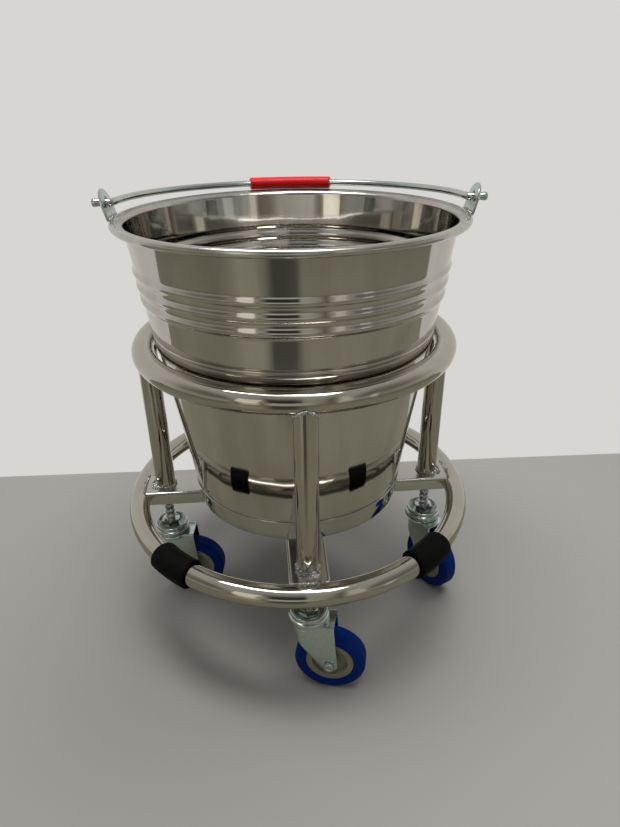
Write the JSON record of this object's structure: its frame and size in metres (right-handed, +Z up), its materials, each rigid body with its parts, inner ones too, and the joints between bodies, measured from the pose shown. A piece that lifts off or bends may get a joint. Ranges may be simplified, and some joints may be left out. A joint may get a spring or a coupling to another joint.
{
  "type": "kick bucket",
  "caption": "Stainless steel kick bucket: a lift-out pail with a swinging wire bail in a round tube frame that rolls on swivel casters.",
  "frame": {"origin": "on the axis of the pail and rings, at floor level", "axes": "+Z up; -Y towards the front leg; +X towards the right leg; the bail's pivot lies within 2.5 degrees of X"},
  "size_m": [0.3356, 0.3356, 0.414],
  "materials": {
    "stainless": "mirror polished",
    "satin_stainless": "satin",
    "zinc": "bright zinc plated",
    "dark_steel": "plain steel",
    "blue_tyre": "smooth moulded",
    "cream_plastic": "moulded",
    "black_rubber": "matt moulded",
    "red_vinyl": "glossy dipped"
  },
  "bodies": {
    "frame": {"top_ring": "stainless", "bottom_ring": "stainless", "leg_front": "stainless", "leg_right": "stainless", "leg_rear": "stainless", "leg_left": "stainless", "bar_front": "satin_stainless", "bar_right": "satin_stainless", "bar_rear": "satin_stainless", "bar_left": "satin_stainless", "bumper_front_right": "black_rubber", "bumper_rear_right": "black_rubber", "bumper_rear_left": "black_rubber", "bumper_front_left": "black_rubber", "caster_front_stem": "zinc", "caster_front_cup": "zinc", "caster_right_stem": "zinc", "caster_right_cup": "zinc", "caster_rear_stem": "zinc", "caster_rear_cup": "zinc", "caster_left_stem": "zinc", "caster_left_cup": "zinc"},
    "pail": {"pail_body": "stainless", "pail_foot": "stainless", "ear_left": "zinc", "ear_right": "zinc"},
    "bail": {"bail_wire": "zinc", "bail_grip": "red_vinyl"},
    "swivel_front": {"caster_front_ball_ring": "dark_steel", "caster_front_fork": "zinc", "caster_front_axle": "zinc", "caster_front_axle_nut": "zinc", "caster_front_bush": "dark_steel"},
    "wheel_front": {"caster_front_hub": "cream_plastic", "caster_front_tyre": "blue_tyre"},
    "swivel_right": {"caster_right_ball_ring": "dark_steel", "caster_right_fork": "zinc", "caster_right_axle": "zinc", "caster_right_axle_nut": "zinc", "caster_right_bush": "dark_steel"},
    "wheel_right": {"caster_right_hub": "cream_plastic", "caster_right_tyre": "blue_tyre"},
    "swivel_rear": {"caster_rear_ball_ring": "dark_steel", "caster_rear_fork": "zinc", "caster_rear_axle": "zinc", "caster_rear_axle_nut": "zinc", "caster_rear_bush": "dark_steel"},
    "wheel_rear": {"caster_rear_hub": "cream_plastic", "caster_rear_tyre": "blue_tyre"},
    "swivel_left": {"caster_left_ball_ring": "dark_steel", "caster_left_fork": "zinc", "caster_left_axle": "zinc", "caster_left_axle_nut": "zinc", "caster_left_bush": "dark_steel"},
    "wheel_left": {"caster_left_hub": "cream_plastic", "caster_left_tyre": "blue_tyre"}
  },
  "joints": [
    {"name": "pail_lift", "type": "slide", "parent": "frame", "child": "pail", "axis": [0, 0, 1], "range_m": [0, 0.2]},
    {"name": "bail_swing", "type": "hinge", "parent": "pail", "child": "bail", "pos_m": [0, 0, 0.4031], "axis": [0.999, -0.0436, 0], "range_deg": [0, 182.8]},
    {"name": "swivel_front", "type": "hinge", "parent": "frame", "child": "swivel_front", "pos_m": [0, -0.1333, 0.0775], "axis": [0, 0, 1], "continuous": true},
    {"name": "roll_front", "type": "hinge", "parent": "swivel_front", "child": "wheel_front", "pos_m": [0.01882, -0.13799, 0.03175], "axis": [0.2419, 0.9703, 0], "continuous": true},
    {"name": "swivel_right", "type": "hinge", "parent": "frame", "child": "swivel_right", "pos_m": [0.1333, 0, 0.0775], "axis": [0, 0, 1], "continuous": true},
    {"name": "roll_right", "type": "hinge", "parent": "swivel_right", "child": "wheel_right", "pos_m": [0.14211, -0.01729, 0.03175], "axis": [0.891, 0.454, 0], "continuous": true},
    {"name": "swivel_rear", "type": "hinge", "parent": "frame", "child": "swivel_rear", "pos_m": [0, 0.1333, 0.0775], "axis": [0, 0, 1], "continuous": true},
    {"name": "roll_rear", "type": "hinge", "parent": "swivel_rear", "child": "wheel_rear", "pos_m": [0.01713, 0.14241, 0.03175], "axis": [-0.4695, 0.8829, 0], "continuous": true},
    {"name": "swivel_left", "type": "hinge", "parent": "frame", "child": "swivel_left", "pos_m": [-0.1333, 0, 0.0775], "axis": [0, 0, 1], "continuous": true},
    {"name": "roll_left", "type": "hinge", "parent": "swivel_left", "child": "wheel_left", "pos_m": [-0.11397, -0.00169, 0.03175], "axis": [0.0872, 0.9962, 0], "continuous": true}
  ]
}
